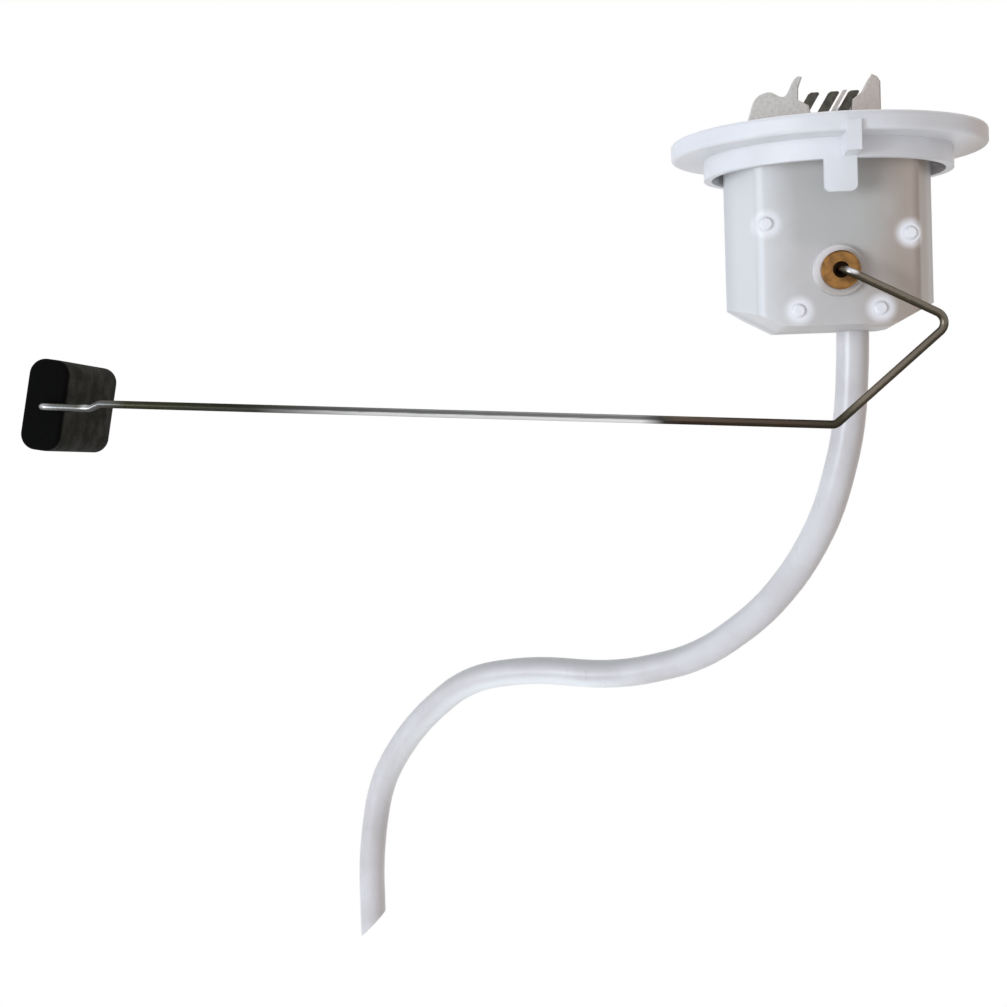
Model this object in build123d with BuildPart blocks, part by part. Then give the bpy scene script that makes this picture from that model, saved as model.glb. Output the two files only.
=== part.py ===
from build123d import *
from math import atan2, cos, degrees, radians, sin, sqrt, tan
import os

# Fuel level sender: a round tank flange, a closed case under it with the resistor card,
# a bent wire arm with a foam float and a pre-formed pickup pipe.
# Origin at the centre of the flange's seat, +Z up out of the tank, -Y the side of the arm.

# Flange
flange_diameter = 80.0
flange_thickness = 4.6
flange_edge_radius = 1.1
skirt_diameter = 63.2
skirt_wall = 2.0
skirt_depth = 5.1
bead_inset = 5.5
bead_width = 1.6
bead_height = 0.8
bead_chamfer = 0.4
key_width = 3.3
key_offset = 2.2
key_proud = 0.8
key_top = 2.3
key_depth = 4.7
tongue_width = 7.7
tongue_length = 7.9
tongue_corner = 1.6

# Case: a round back, flat sides that draw in towards a flat front, and a little draft below
case_width = 52.4
case_face = 38.4
case_corner = 2.4
case_draft = 2.8
case_front = 22.4
case_back = 20.0
case_wall = 1.8
case_roof = 2.0
case_skirt_gap = 0.6
chamfer_across = 12.2
chamfer_up = 6.5
cover_thickness = 2.0
drain_diameter = 3.0
drain_spacing = 24.0
drain_back = 12.0

# Heat-staked pips that hold the cover: the upper ones from the seat, the lower ones from the floor
upper_pip_reach = 17.2
upper_left_pip_depth = 19.1
upper_right_pip_depth = 22.8
lower_pip_reach = 9.8
lower_pip_rise = 4.8
pip_shank = 1.6
pip_head = 3.6
pip_pad = 4.6
pip_dome = 0.9
pip_taper = 35.0
pip_boss = 4.4
pip_boss_length = 6.0

# Pivot
pivot_depth = 31.3
pivot_rise = 14.2
boss_diameter = 12.4
boss_front = 2.0
boss_draft = 3.0
boss_back = 1.7
bush_head = 9.4
bush_head_length = 2.6
bush_body = 6.5
bush_recess = 4.0
bush_recess_depth = 2.4
bush_length = 9.2
bush_chamfer = 0.4
retainer_diameter = 11.0
retainer_thickness = 0.6
retainer_teeth = 6
retainer_tooth_width = 1.2

# Wire arm: bends as distances from the pivot, right and down
wire_diameter = 2.0
wire_plane = 31.0
shaft_end = 7.6
elbow_right = 25.1
elbow_down = 13.1
heel_left = 2.7
heel_down = 37.2
jog_run = 186.6
jog_lift = 0.2
jog_dip = 0.9
jog_length = 2.7
reach_run = 202.6
reach_down = 27.3
shaft_bend = 2.8
elbow_bend = 2.8
heel_bend = 2.4
jog_bend = 3.0
axle_bend = 1.7
axle_droop = 4.2
clip_groove = 1.5
clip_groove_width = 0.7
clip_mouth = 1.35
clip_diameter = 5.2
clip_thickness = 0.5

# Float
float_width = 11.1
float_height = 23.8
float_depth = 31.3
float_corner = 4.2
float_edge = 1.2
float_lean = 9.0
float_offset = 0.6
float_gap = 0.8
nut_diameter = 6.4
nut_thickness = 0.5
nut_petals = 4
nut_slot_length = 1.4
nut_slot_width = 0.4
wire_tail = 2.2

# Hub and wiper inside the case
hub_diameter = 8.0
hub_length = 8.0
washer_diameter = 7.0
washer_thickness = 0.4
carrier_reach = 12.5
carrier_width = 5.6
carrier_root = 7.0
carrier_thickness = 2.4
tail_reach = 9.0
tail_width = 3.6
wiper_radius = 14.5
wiper_strip = 0.3
wiper_width = 4.6
finger_width = 1.4
finger_root = 0.5
finger_ease = 0.4
rivet_shank = 1.2
rivet_head = 2.4
rivet_height = 0.5
spring_foot = 5.0
spring_knee = 11.2
spring_hook = 1.1
hook_lift = 1.6
contact_gap = 0.3
ground_width = 3.0
ground_strip = 0.3
ground_foot = 2.8
ground_curl = 1.2
arm_rise = 12.0
arm_fall = 54.0
stop_length = 2.8
stop_width = 3.0
stop_margin = 1.5
stop_engage = 3.0

# Resistor card
card_width = 28.0
card_height = 17.0
card_thickness = 0.7
card_front = 4.2
card_rise = 22.8
card_corner = 0.6
bar_count = 27
bar_width = 0.45
bar_length = 4.2
bar_height = 0.12
pad_width = 3.0
pad_height = 2.4
pad_drop = 2.0
bracket_thickness = 2.4
bracket_rail = 1.6
bracket_foot = 8.0
bracket_foot_front = 11.2
bracket_short = 2.1
rail_proud = 0.9
card_slack = 0.1
bracket_foot_thickness = 2.0
card_rivet_drop = 3.4
card_rivet_inset = 2.2

# Terminals
block_front = 8.0
block_back = 3.0
block_left = 19.9
block_right = 13.1
block_base_top = 9.9
block_chamfer = 0.35
latch_hump = [
    (-8.9, 17.9), (-11.3, 14.5), (-12.7, 15.0), (-14.2, 15.8), (-16.3, 15.6), (-17.9, 14.6), (-19.2, 12.2),
]
latch_fin = [(-4.3, 9.9), (-4.8, 12.0), (-7.4, 13.5), (-7.3, 16.5), (-6.3, 19.3), (-7.2, 19.5)]
guide_outline = [(13.1, 17.1), (12.3, 18.4), (11.0, 19.1), (8.9, 15.1), (6.2, 13.0), (5.9, 9.9)]
blade_pitch = 5.0
blade_first = -6.1
blade_width = 2.8
blade_thickness = 0.8
blade_lean = 31.0
blade_top = 15.6
blade_bend_height = 10.5
blade_tip = 0.5
blade_front = 5.2
tail_over_card = 1.5
divider_width = 1.1
divider_depth = 3.2
divider_root = 0.2
blade_gap = 0.3
window_width = 18.0
window_depth = 5.0
lead_diameter = 1.4
lead_radius = 2.0

# Screws that hold the case and the card bracket to the flange
screw_shank = 2.9
screw_head = 5.2
screw_head_height = 1.8
screw_head_draft = 8.0
screw_bite = 3.2
screw_reach = 16.0
screw_front = 8.2
screw_back = 9.0
slot_length = 3.6
slot_width = 0.8
slot_depth = 0.7

# Pickup pipe and outlet
pipe_diameter = 8.5
pipe_bore = 6.3
pipe_side = 6.6
pipe_back = 8.0
pipe_collar_wall = 1.5
pipe_collar_height = 4.0
inner_nipple_length = 9.0
outlet_bore = 5.0
outlet_elbow = 8.8
outlet_axis_height = 10.2
outlet_diameter = 7.9
outlet_collar = 9.2
outlet_collar_width = 1.4
outlet_reach = 36.0
outlet_seat = 15.0
outlet_tip = 0.6
pipe_drop = 50.0
pipe_points = [
    (5.2, 8.8, -72.0),
    (-0.3, 14.2, -94.4),
    (-8.0, 23.2, -111.0),
    (-18.1, 33.2, -125.1),
    (-35.5, 44.5, -140.0),
    (-60.7, 57.0, -148.3),
    (-88.8, 68.8, -148.5),
    (-111.5, 77.5, -153.5),
    (-130.7, 84.6, -170.5),
    (-143.6, 88.0, -190.0),
    (-148.0, 88.0, -215.0),
    (-148.0, 88.0, -248.0),
]
pipe_inlet_depth = 239.3
pipe_inlet_length = 33.3
pipe_cut_angle = 45.0
arc_share = 0.45

# Fits
running_fit = 0.05
press_fit = 0.01
loose_fit = 0.15
end_play = 0.1

# Places worked out from the sizes above
skirt_radius = skirt_diameter / 2
skirt_bore = skirt_radius - skirt_wall
case_radius = skirt_bore - case_skirt_gap
case_height = pivot_depth + pivot_rise
lower_pip_depth = case_height - lower_pip_rise
bead_radius = flange_diameter / 2 - bead_inset
case_split = case_front - cover_thickness
boss_face = case_front + boss_front
bush_face = boss_face + bush_head_length
bush_inner = boss_face - bush_length + bush_head_length
cover_back = case_split
boss_inner = cover_back - boss_back
washer_front = bush_inner - end_play
hub_front = washer_front - washer_thickness
hub_back = hub_front - hub_length
clip_front = hub_back - end_play
card_back = card_front - card_thickness
card_top_depth = pivot_depth - card_rise
card_middle = card_top_depth + card_height / 2
bracket_drop = pivot_depth - bracket_short
blade_tail = card_top_depth - tail_over_card
half_sweep = (arm_rise + arm_fall) / 2
wiper_turn = half_sweep - arm_rise
float_front = wire_diameter / 2 + float_gap
block_base = flange_thickness
card_rivet_across = card_width / 2 - card_rivet_inset
card_rivet_up = card_height / 2 - card_rivet_drop
carrier_tip = carrier_reach - carrier_width / 2
pipe_straight_depth = pipe_inlet_depth - pipe_inlet_length


def front_plane(y, x=0.0, z=0.0, turn=0.0):
    """Plane that faces the front, its y axis turned clockwise from straight up."""
    across = (cos(radians(turn)), 0, -sin(radians(turn)))
    return Plane(origin=(x, y, z), x_dir=across, z_dir=(0, -1, 0))


def wiper_side(across):
    """Plane square to the wiper: its x axis runs out along the wiper, its y axis to the back."""
    turn = radians(wiper_turn)
    origin = (across * cos(turn), -hub_back, -pivot_depth - across * sin(turn))
    return Plane(origin=origin, x_dir=(sin(turn), 0, cos(turn)), z_dir=(-cos(turn), 0, sin(turn)))


def axle_plane(along, turn=0.0):
    """Plane square to the float's drooping axle, some way behind the arm, that faces the front."""
    droop = radians(axle_droop)
    origin = (-reach_run, -wire_plane + along * cos(droop), -pivot_depth - reach_down - along * sin(droop))
    across = (cos(radians(turn)), -sin(radians(turn)) * sin(droop), -sin(radians(turn)) * cos(droop))
    return Plane(origin=origin, x_dir=across, z_dir=(0, -cos(droop), sin(droop)))


def tangent_radii(points):
    """Largest even arc at each corner of a route that leaves a short run between arcs."""
    radii = []
    for before, here, after in zip(points, points[1:], points[2:]):
        arriving = Vector(*here) - Vector(*before)
        leaving = Vector(*after) - Vector(*here)
        half_turn = radians(arriving.get_angle(leaving)) / 2
        radii.append(arc_share * min(arriving.length, leaving.length) / tan(half_turn))
    return radii


def save(builder, name):
    builder.part.label = name
    export_step(builder.part, "parts/" + name + ".step")


def case_block(inset, front, back):
    """Solid inside the case's outline, set in by a wall, between two depths."""
    with BuildPart() as block:
        with BuildSketch() as plan:
            face = case_face / 2
            edge = case_width / 2
            with BuildLine():
                Polyline((-face, -case_front), (face, -case_front), (edge, 0), (edge, case_radius),
                         (-edge, case_radius), (-edge, 0), close=True)
            make_face()
            fillet(plan.vertices().sort_by(Axis.Y)[:2], case_corner)
            if inset:
                offset(amount=-inset, kind=Kind.INTERSECTION)
            Circle(case_radius - inset, mode=Mode.INTERSECT)
            with Locations((0, (back - front) / 2)):
                Rectangle(case_width, front + back, mode=Mode.INTERSECT)
        extrude(amount=-case_height)
        side = case_width / 2 - inset
        floor = -case_height + inset
        slope = chamfer_up / chamfer_across
        knee = floor + chamfer_up + inset * (sqrt(1 + slope * slope) - 1 - slope)
        toe = side - (knee - floor) / slope
        wide = case_radius + case_roof
        shoulder = floor + (wide - toe) * slope
        with BuildPart(mode=Mode.INTERSECT):
            with BuildSketch(front_plane(0)) as section:
                with BuildLine():
                    Polyline((-wide, case_roof), (wide, case_roof), (wide, shoulder), (toe, floor),
                             (-toe, floor), (-wide, shoulder), close=True)
                make_face()
            extrude(section.sketch, amount=case_radius, taper=case_draft)
            extrude(section.sketch, amount=-case_radius)
    return block.part


os.makedirs("parts", exist_ok=True)
pips = [
    (-upper_pip_reach, -upper_left_pip_depth),
    (upper_pip_reach, -upper_right_pip_depth),
    (-lower_pip_reach, -lower_pip_depth),
    (lower_pip_reach, -lower_pip_depth),
]
screw_spots = [(side * screw_reach, -screw_front) for side in (-1, 1)]
screw_spots += [(side * screw_reach, screw_back) for side in (-1, 1)]
blade_spots = [blade_first + index * blade_pitch for index in range(3)]

# Flange with its skirt, keys, nipples and the holes for what passes through it
with BuildPart() as flange:
    with BuildSketch(Plane.XZ) as profile:
        with BuildLine():
            Polyline(
                (0, 0), (skirt_bore, 0), (skirt_bore, -skirt_depth), (skirt_radius, -skirt_depth),
                (skirt_radius, 0), (flange_diameter / 2, 0), (flange_diameter / 2, flange_thickness),
                (0, flange_thickness), close=True)
        make_face()
    revolve(axis=Axis.Z)
    rim_edges = flange.edges().filter_by(GeomType.CIRCLE)
    rim_edges = rim_edges.filter_by(lambda edge: abs(edge.radius - flange_diameter / 2) < 0.01)
    fillet(rim_edges, flange_edge_radius)
    with BuildSketch(Plane.XY.offset(flange_thickness)):
        Circle(bead_radius + bead_width / 2)
        Circle(bead_radius - bead_width / 2, mode=Mode.SUBTRACT)
    extrude(amount=bead_height)
    bead_edges = flange.edges().group_by(Axis.Z)[-1]
    chamfer(bead_edges, bead_chamfer)

    # Key under the rim and locating tongue below the skirt
    key_out = flange_diameter / 2 + key_proud
    with BuildSketch(Plane.XY.offset(-key_depth)):
        with Locations((key_offset, -(key_out + skirt_radius - skirt_wall / 2) / 2)):
            Rectangle(key_width, key_out - skirt_radius + skirt_wall / 2)
    extrude(amount=key_depth + key_top)
    with BuildSketch(Plane.XY.offset(-skirt_depth)):
        Circle(skirt_radius)
        Circle(skirt_bore, mode=Mode.SUBTRACT)
        with Locations((0, -skirt_radius)):
            Rectangle(tongue_width, skirt_radius, mode=Mode.INTERSECT)
    extrude(amount=-tongue_length)
    tongue_edges = flange.edges().filter_by(
        lambda edge: edge.center().Z < -skirt_depth - tongue_length / 2 and edge.length < 3 * skirt_wall)
    tongue_edges = tongue_edges.filter_by(
        lambda edge: abs(edge.center().Z + skirt_depth + tongue_length) < 0.01)
    fillet(tongue_edges, tongue_corner)

    # Outlet elbow on top with a collared spigot, inner nipple below, one bore through both
    with BuildSketch(Plane.XY.offset(flange_thickness)):
        with Locations((pipe_side, pipe_back)):
            Circle(outlet_elbow / 2)
    extrude(amount=outlet_axis_height - flange_thickness)
    with Locations((pipe_side, pipe_back, outlet_axis_height)):
        Sphere(outlet_elbow / 2)
    outlet_plane = Plane(origin=(pipe_side, pipe_back, outlet_axis_height), x_dir=(1, 0, 0), z_dir=(0, 1, 0))
    outlet_length = outlet_reach - pipe_back
    with BuildSketch(outlet_plane):
        Circle(outlet_diameter / 2)
    extrude(amount=outlet_length)
    outlet_rim = flange.faces().sort_by(Axis.Y)[-1].edges()
    chamfer(outlet_rim, outlet_tip)
    with BuildSketch(outlet_plane.offset(outlet_length - outlet_seat - outlet_collar_width)):
        Circle(outlet_collar / 2)
    extrude(amount=outlet_collar_width)
    with BuildSketch():
        with Locations((pipe_side, pipe_back)):
            Circle(pipe_bore / 2 - running_fit)
    extrude(amount=-inner_nipple_length)
    with BuildSketch(Plane.XY.offset(-inner_nipple_length)):
        with Locations((pipe_side, pipe_back)):
            Circle(outlet_bore / 2)
    extrude(amount=inner_nipple_length + outlet_axis_height, mode=Mode.SUBTRACT)
    with BuildSketch(outlet_plane):
        Circle(outlet_bore / 2)
    extrude(amount=outlet_length, mode=Mode.SUBTRACT)

    # Slots for the terminals and pilot holes for the screws
    with BuildSketch():
        for spot in blade_spots:
            with Locations((spot, -blade_front)):
                Rectangle(blade_width + 2 * running_fit, blade_thickness + 2 * running_fit)
    extrude(amount=flange_thickness, mode=Mode.SUBTRACT)
    with BuildSketch():
        with Locations(*screw_spots):
            Circle(screw_shank / 2 + press_fit)
    extrude(amount=screw_bite + end_play, mode=Mode.SUBTRACT)
save(flange, "flange")

# Terminal block: one moulding with a base, a latch cheek, a guide cheek and a divider
with BuildPart() as terminal_block:
    with BuildSketch(front_plane(block_back)):
        with BuildLine():
            Polyline((-block_left, block_base), (block_right, block_base), (block_right, block_base_top),
                     (-block_left, block_base_top), close=True)
        make_face()
        with BuildLine():
            Spline(latch_fin[-1], *latch_hump, (-block_left, block_base_top))
            Polyline((-block_left, block_base_top), *latch_fin)
        make_face()
        with BuildLine():
            Polyline((block_right, block_base_top), *guide_outline, close=True)
        make_face()
    extrude(amount=block_front + block_back)
    front_edges = terminal_block.faces().sort_by(Axis.Y)[0].edges()
    chamfer(front_edges, block_chamfer)
    blade_shift = (blade_top - blade_bend_height) * tan(radians(blade_lean))
    with BuildSketch(Plane.XY.offset(block_base_top)):
        for spot in blade_spots:
            with Locations((spot + blade_shift / 2, -blade_front)):
                Rectangle(blade_width + blade_shift + 2 * blade_gap, blade_thickness + 2 * blade_gap)
    extrude(amount=2 * blade_top, mode=Mode.SUBTRACT)
    with BuildSketch(front_plane(-blade_front + divider_depth / 2)):
        divider_left = (blade_spots[1] + blade_spots[2] - divider_width) / 2
        divider_right = divider_left + divider_width
        with BuildLine():
            Polyline((divider_left, block_base_top - divider_root),
                     (divider_right, block_base_top - divider_root), (divider_right, blade_bend_height),
                     (divider_right + blade_shift, blade_top), (divider_left + blade_shift, blade_top),
                     (divider_left, blade_bend_height), close=True)
        make_face()
    extrude(amount=divider_depth)
    with BuildSketch(Plane.XY.offset(block_base)):
        for spot in blade_spots:
            with Locations((spot, -blade_front)):
                Rectangle(blade_width + 2 * running_fit, blade_thickness + 2 * running_fit)
    extrude(amount=block_base_top - block_base, mode=Mode.SUBTRACT)
save(terminal_block, "terminal_block")

# Three blades, straight through the flange and bent over to the right above the block
blade_names = ["blade_signal", "blade_ground", "blade_warning"]
for name, spot in zip(blade_names, blade_spots):
    half = blade_width / 2
    with BuildPart() as blade:
        with BuildSketch(front_plane(-blade_front + blade_thickness / 2)):
            with BuildLine():
                Polyline((spot - half, -blade_tail), (spot + half, -blade_tail),
                         (spot + half, blade_bend_height), (spot + half + blade_shift, blade_top),
                         (spot - half + blade_shift, blade_top), (spot - half, blade_bend_height), close=True)
            make_face()
        extrude(amount=blade_thickness)
        top_edges = blade.edges().filter_by(Axis.Y).group_by(Axis.Z)[-1]
        chamfer(top_edges, blade_tip)
    save(blade, name)

# Case with its roof, open front, stakes for the cover and collar for the pipe
case_outer = case_block(0, case_split, case_back)
case_inner = case_block(case_wall, case_front, case_back - case_wall)
with BuildPart() as cavity:
    add(case_inner)
    with BuildSketch() as roof:
        Rectangle(2 * case_width, 2 * case_width)
    extrude(amount=-case_roof, mode=Mode.SUBTRACT)
with BuildPart() as case:
    add(case_outer)
    add(cavity.part, mode=Mode.SUBTRACT)
    for across, up in pips:
        toward_side = 1 if across > 0 else -1
        with BuildSketch(front_plane(-case_split)):
            with Locations((across, up)):
                Circle(pip_boss / 2)
            if up > -lower_pip_depth:
                with Locations((across + toward_side * pip_boss / 2, up)):
                    Rectangle(pip_boss, pip_boss)
            else:
                with Locations((across, up - pip_boss / 2)):
                    Rectangle(pip_boss, pip_boss)
        extrude(amount=-pip_boss_length)
    add(case_outer, mode=Mode.INTERSECT)
    for across, up in pips:
        with BuildSketch(front_plane(-case_split)):
            with Locations((across, up)):
                Circle(pip_shank / 2)
        extrude(amount=cover_thickness)
        with BuildSketch(front_plane(-case_front)):
            with Locations((across, up)):
                Circle(pip_head / 2)
        extrude(amount=pip_dome, taper=pip_taper)
    with BuildSketch(Plane.XY.offset(-case_height)):
        with Locations((pipe_side, pipe_back)):
            Circle(pipe_diameter / 2 + loose_fit + pipe_collar_wall)
    extrude(amount=case_wall + pipe_collar_height)
    with BuildSketch(Plane.XY.offset(-case_height)):
        with Locations((pipe_side, pipe_back)):
            Circle(pipe_diameter / 2 + loose_fit)
    extrude(amount=case_height, mode=Mode.SUBTRACT)
    with BuildSketch(Plane.XY.offset(-case_height)):
        with Locations((-drain_spacing / 2, drain_back)):
            Circle(drain_diameter / 2)
    extrude(amount=case_wall, mode=Mode.SUBTRACT)
    with BuildSketch(Plane.XY.offset(-case_roof)):
        with Locations((blade_spots[1], -blade_front)):
            Rectangle(window_width, window_depth)
        with Locations(*screw_spots):
            Circle(screw_shank / 2 + loose_fit)
    extrude(amount=case_roof, mode=Mode.SUBTRACT)
save(case, "case")

# Front cover with the boss for the bush and the stops for the hub's tail
cover_outer = case_block(0, case_front, -case_split)
with BuildPart() as front_cover:
    add(cover_outer)
    with BuildSketch(front_plane(-case_split)):
        with Locations(*pips):
            Circle(pip_pad / 2)
    extrude(amount=cover_thickness)
    with BuildSketch(front_plane(-case_front, 0, -pivot_depth)):
        Circle(boss_diameter / 2)
    extrude(amount=boss_front, taper=boss_draft)
    with BuildSketch(front_plane(-boss_inner, 0, -pivot_depth)):
        Circle(retainer_diameter / 2)
    extrude(amount=boss_back)
    stop_inner = tail_reach - stop_length
    stop_half = degrees(atan2(tail_width / 2, stop_inner) + atan2(stop_width / 2, stop_inner))
    for side in (-1, 1):
        stop_turn = side * (half_sweep + stop_half + stop_margin)
        with BuildSketch(front_plane(-hub_front + stop_engage, 0, -pivot_depth, stop_turn)):
            with Locations((0, -tail_reach + stop_length / 2)):
                Rectangle(stop_width, stop_length)
        extrude(amount=case_split - hub_front + stop_engage)
    with BuildSketch(front_plane(-boss_inner, 0, -pivot_depth)):
        Circle(bush_body / 2 + press_fit)
    extrude(amount=2 * boss_face, mode=Mode.SUBTRACT)
    with BuildSketch(front_plane(-case_split)):
        with Locations(*pips):
            Circle(pip_shank / 2 + running_fit)
    extrude(amount=cover_thickness, mode=Mode.SUBTRACT)
save(front_cover, "front_cover")

# Brass bush, pushed in from the front and held by a toothed ring behind the cover
with BuildPart() as brass_bush:
    with BuildSketch(front_plane(-bush_inner, 0, -pivot_depth)):
        Circle(bush_body / 2)
    extrude(amount=boss_face - bush_inner)
    with BuildSketch(front_plane(-boss_face, 0, -pivot_depth)):
        Circle(bush_head / 2)
    extrude(amount=bush_head_length)
    rim = brass_bush.faces().sort_by(Axis.Y)[0].edges()
    chamfer(rim, bush_chamfer)
    with BuildSketch(front_plane(-bush_inner, 0, -pivot_depth)):
        Circle(wire_diameter / 2 + running_fit)
    extrude(amount=bush_length, mode=Mode.SUBTRACT)
    with BuildSketch(front_plane(-bush_face, 0, -pivot_depth)):
        Circle(bush_recess / 2)
    extrude(amount=-bush_recess_depth, mode=Mode.SUBTRACT)
save(brass_bush, "brass_bush")

with BuildPart() as bush_retainer:
    with BuildSketch(front_plane(-boss_inner + retainer_thickness, 0, -pivot_depth)):
        Circle(retainer_diameter / 2)
        Circle(bush_body / 2 + press_fit, mode=Mode.SUBTRACT)
        with PolarLocations(bush_body / 2 + retainer_tooth_width / 2, retainer_teeth):
            Rectangle(2 * retainer_tooth_width, retainer_tooth_width, mode=Mode.SUBTRACT)
    extrude(amount=retainer_thickness)
save(bush_retainer, "bush_retainer")

# Wire arm: shaft through the bush, two bends to the right and down, a long run to the float
shaft_z = -pivot_depth
arm_route = [
    (0, -shaft_end, shaft_z),
    (0, -wire_plane, shaft_z),
    (elbow_right, -wire_plane, shaft_z - elbow_down),
    (-heel_left, -wire_plane, shaft_z - heel_down),
    (-jog_run, -wire_plane, shaft_z - reach_down + jog_lift),
    (-jog_run - jog_length, -wire_plane, shaft_z - reach_down - jog_dip),
    (-reach_run, -wire_plane, shaft_z - reach_down),
    tuple(axle_plane(float_front + float_depth + wire_tail).origin),
]
arm_bends = [shaft_bend, elbow_bend, heel_bend, jog_bend, jog_bend, axle_bend]
with BuildPart() as wire_arm:
    with BuildLine():
        arm_line = FilletPolyline(*arm_route, radius=arm_bends)
    with BuildSketch(Plane(origin=arm_line @ 0, z_dir=arm_line % 0)):
        Circle(wire_diameter / 2)
    sweep()
    with BuildSketch(front_plane(-clip_front + clip_groove_width)):
        with Locations((0, shaft_z)):
            Circle(wire_diameter)
            Circle(clip_groove / 2, mode=Mode.SUBTRACT)
    extrude(amount=clip_groove_width, mode=Mode.SUBTRACT)
save(wire_arm, "wire_arm")

with BuildPart() as thrust_washer:
    with BuildSketch(front_plane(-hub_front, 0, shaft_z)):
        Circle(washer_diameter / 2)
        Circle(wire_diameter / 2 + running_fit, mode=Mode.SUBTRACT)
    extrude(amount=washer_thickness)
save(thrust_washer, "thrust_washer")

# Hub pressed on the shaft: carrier up to the wiper, tail down between the stops
with BuildPart() as wiper_hub:
    with BuildSketch(front_plane(-hub_back, 0, shaft_z)):
        Circle(hub_diameter / 2)
    extrude(amount=hub_length)
    with BuildSketch(front_plane(-hub_back, 0, shaft_z, wiper_turn)):
        with BuildLine():
            Polyline((-carrier_root / 2, 0), (carrier_root / 2, 0), (carrier_width / 2, carrier_tip),
                     (-carrier_width / 2, carrier_tip), close=True)
        make_face()
        with Locations((0, carrier_tip)):
            Circle(carrier_width / 2)
    extrude(amount=carrier_thickness)
    with BuildSketch(front_plane(-hub_back, 0, shaft_z, wiper_turn)):
        with Locations((0, -tail_reach / 2)):
            Rectangle(tail_width, tail_reach)
    extrude(amount=hub_length)
    with BuildSketch(front_plane(-hub_back, 0, shaft_z)):
        Circle(wire_diameter / 2 + press_fit)
    extrude(amount=hub_length, mode=Mode.SUBTRACT)
save(wiper_hub, "wiper_hub")

with BuildPart() as shaft_clip:
    with BuildSketch(front_plane(-clip_front + clip_thickness, 0, shaft_z)):
        Circle(clip_diameter / 2)
        Circle(clip_groove / 2 + press_fit, mode=Mode.SUBTRACT)
        with Locations((0, -clip_diameter / 2)):
            Rectangle(clip_mouth, clip_diameter, mode=Mode.SUBTRACT)
    extrude(amount=clip_thickness)
save(shaft_clip, "shaft_clip")


# Contact spring on the hub: a foot and two fingers that reach over to the card
finger_tip = hub_back - card_front - bar_height - contact_gap
with BuildPart() as wiper_spring:
    with BuildSketch(wiper_side(wiper_width / 2)):
        with Locations(((spring_foot + spring_knee) / 2, wiper_strip / 2)):
            Rectangle(spring_knee - spring_foot, wiper_strip)
    extrude(amount=wiper_width)
    for side in (-1, 1):
        with BuildSketch(wiper_side(side * (wiper_width - finger_width) / 2 + finger_width / 2)):
            with BuildLine():
                Polyline(
                    (spring_knee - finger_root, 0), (spring_knee + finger_ease, 0),
                    (wiper_radius + wiper_strip / 2, finger_tip - finger_root),
                    (wiper_radius + spring_hook, finger_tip - hook_lift),
                    (wiper_radius + spring_hook + wiper_strip, finger_tip - hook_lift + wiper_strip / 2),
                    (wiper_radius, finger_tip), (spring_knee, wiper_strip),
                    (spring_knee - finger_root, wiper_strip), close=True)
            make_face()
        extrude(amount=finger_width)
save(wiper_spring, "wiper_spring")

with BuildPart() as wiper_rivet:
    rivet_place = (spring_foot + spring_knee) / 2
    rivet_plane = front_plane(-hub_back + wiper_strip + rivet_height, 0, shaft_z, wiper_turn)
    with BuildSketch(rivet_plane):
        with Locations((0, rivet_place)):
            Circle(rivet_head / 2)
    extrude(amount=rivet_height)
save(wiper_rivet, "wiper_rivet")

# Resistor card with its printed bars and pads
with BuildPart() as resistor_card:
    with BuildSketch(front_plane(-card_back, 0, -card_middle)):
        RectangleRounded(card_width, card_height, card_corner)
        with Locations(*[(side * card_rivet_across, card_rivet_up) for side in (-1, 1)]):
            Circle(rivet_shank / 2 + running_fit, mode=Mode.SUBTRACT)
    extrude(amount=card_thickness)
save(resistor_card, "resistor_card")

with BuildPart() as contact_bars:
    for index in range(bar_count):
        bar_turn = half_sweep * (2 * index / (bar_count - 1) - 1)
        with BuildSketch(front_plane(-card_front, 0, shaft_z, bar_turn)):
            with Locations((0, wiper_radius)):
                Rectangle(bar_width, bar_length)
        extrude(amount=bar_height)
    with BuildSketch(front_plane(-card_front)):
        for spot in blade_spots:
            with Locations((spot, -card_top_depth - pad_drop)):
                Rectangle(pad_width, pad_height)
    extrude(amount=bar_height)
save(contact_bars, "contact_bars")

# Moulded bracket behind the card, with side rails and two feet under the roof
bracket_back = card_back - bracket_thickness
rail_inner = card_width / 2 + card_slack
with BuildPart() as card_bracket:
    with BuildSketch(front_plane(-bracket_back)):
        with Locations((0, -(case_roof + bracket_drop) / 2)):
            Rectangle(2 * (rail_inner + bracket_rail), bracket_drop - case_roof)
    extrude(amount=bracket_thickness)
    for side in (-1, 1):
        with BuildSketch(front_plane(-bracket_back)):
            with Locations((side * (rail_inner + bracket_rail / 2), -(case_roof + bracket_drop) / 2)):
                Rectangle(bracket_rail, bracket_drop - case_roof)
        extrude(amount=bracket_thickness + card_thickness + rail_proud)
        with BuildSketch(Plane.XY.offset(-case_roof)):
            with Locations((side * screw_reach, -(bracket_foot_front + card_front + card_slack) / 2)):
                Rectangle(bracket_foot, bracket_foot_front - card_front - card_slack)
        extrude(amount=-bracket_foot_thickness)
        with BuildSketch(Plane.XY.offset(-case_roof)):
            with Locations((side * screw_reach, -screw_front)):
                Circle(screw_shank / 2 + loose_fit)
        extrude(amount=-bracket_foot_thickness, mode=Mode.SUBTRACT)
    with BuildSketch(front_plane(-bracket_back, 0, -card_middle)):
        with Locations(*[(side * card_rivet_across, card_rivet_up) for side in (-1, 1)]):
            Circle(rivet_shank / 2 + running_fit)
    extrude(amount=bracket_thickness, mode=Mode.SUBTRACT)
save(card_bracket, "card_bracket")

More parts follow.
